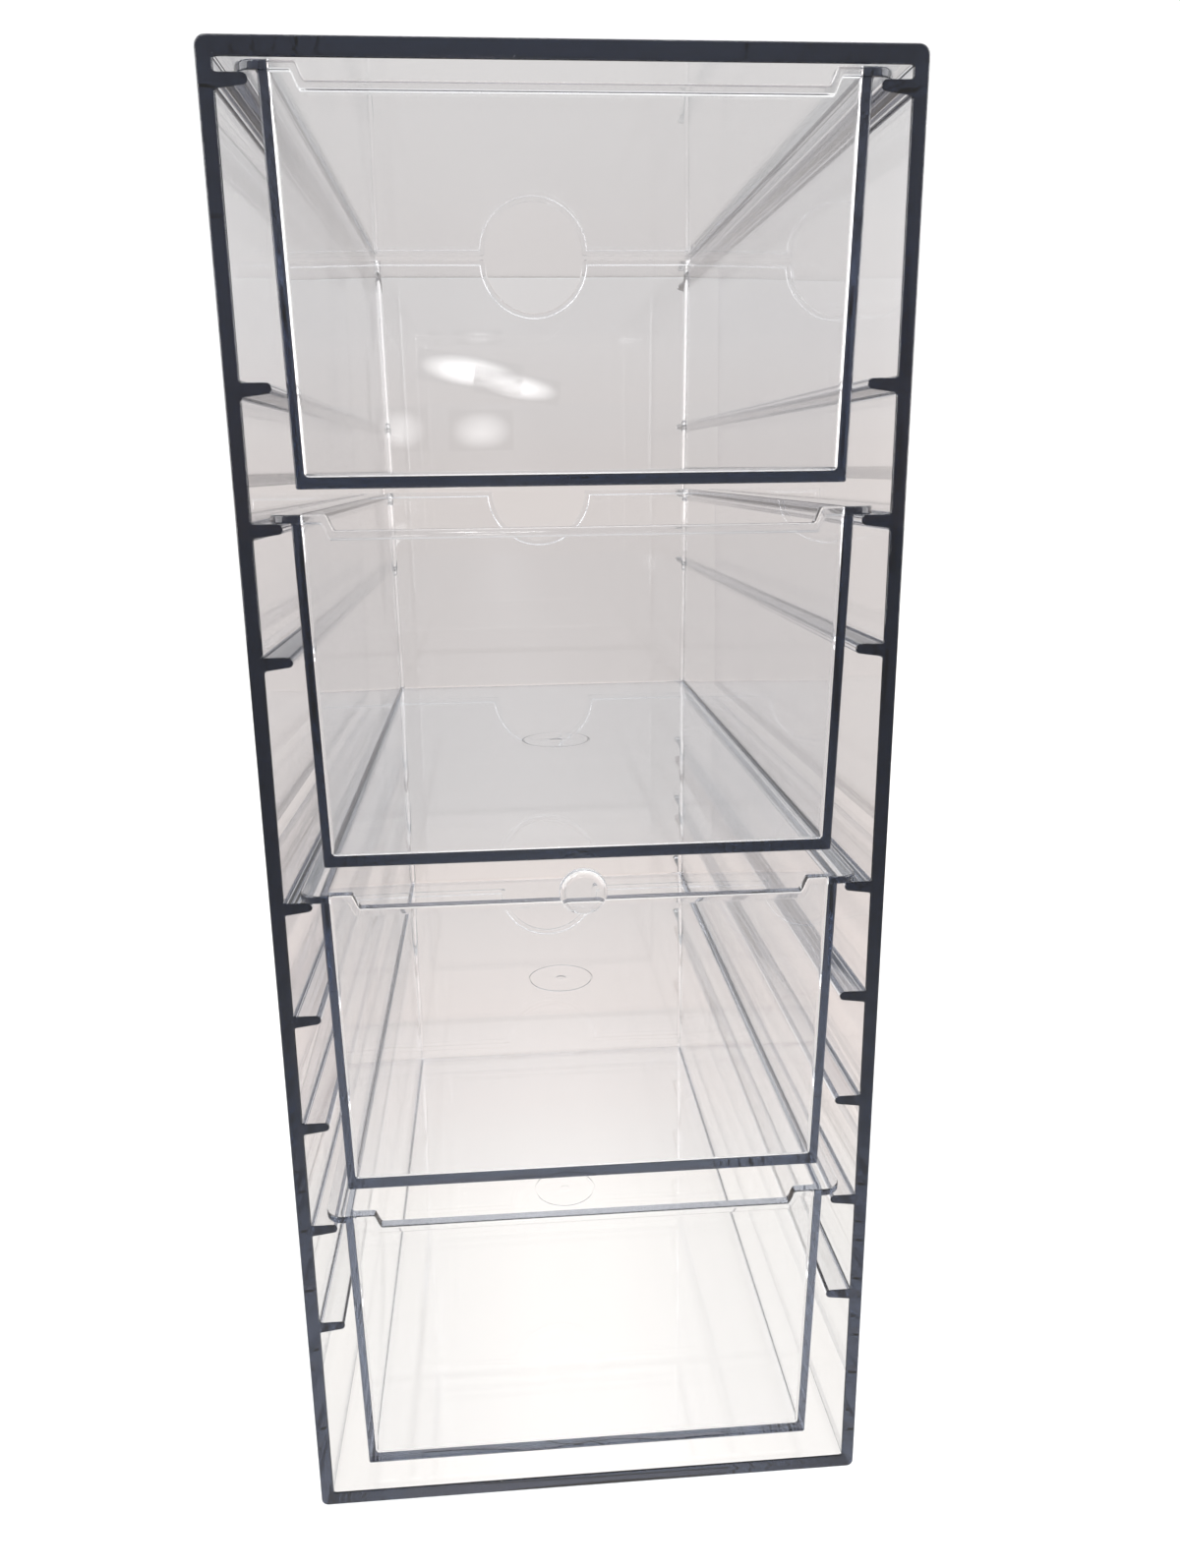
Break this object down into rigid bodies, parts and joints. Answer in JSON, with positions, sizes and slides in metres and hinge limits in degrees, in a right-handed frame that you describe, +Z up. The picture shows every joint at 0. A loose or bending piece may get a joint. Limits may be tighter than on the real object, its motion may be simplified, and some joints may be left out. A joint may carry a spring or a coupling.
{
  "type": "cosmetics organizer with drawers",
  "caption": "Tall clear moulded cosmetics chest: an open-fronted casing with moulded side rails and deep lift-out drawers that hang and slide on them by their flanges.",
  "frame": {"origin": "bottom centre of the whole object's box, on the surface it stands on", "axes": "+Z up; -Y out of the open front, the way the drawers pull; +X to the right seen from the front"},
  "size_m": [0.12, 0.2358, 0.2891],
  "materials": {
    "casing_plastic": "clear, polished, with darker edges",
    "drawer_plastic": "clear, polished, with darker edges",
    "stud_plastic": "clear, glossy"
  },
  "bodies": {
    "casing": {"casing": "casing_plastic"},
    "top_drawer": {"top_drawer": "drawer_plastic"},
    "second_drawer": {"second_drawer": "drawer_plastic"},
    "third_drawer": {"third_drawer": "drawer_plastic", "pull_stud": "stud_plastic"},
    "bottom_drawer": {"bottom_drawer": "drawer_plastic"}
  },
  "joints": [
    {"name": "top_drawer_slide", "type": "slide", "parent": "casing", "child": "top_drawer", "axis": [0, -1, 0], "range_m": [0, 0.09]},
    {"name": "second_drawer_slide", "type": "slide", "parent": "casing", "child": "second_drawer", "axis": [0, -1, 0], "range_m": [0, 0.09]},
    {"name": "third_drawer_slide", "type": "slide", "parent": "casing", "child": "third_drawer", "axis": [0, -1, 0], "range_m": [0, 0.09]},
    {"name": "bottom_drawer_slide", "type": "slide", "parent": "casing", "child": "bottom_drawer", "axis": [0, -1, 0], "range_m": [0, 0.09]}
  ]
}
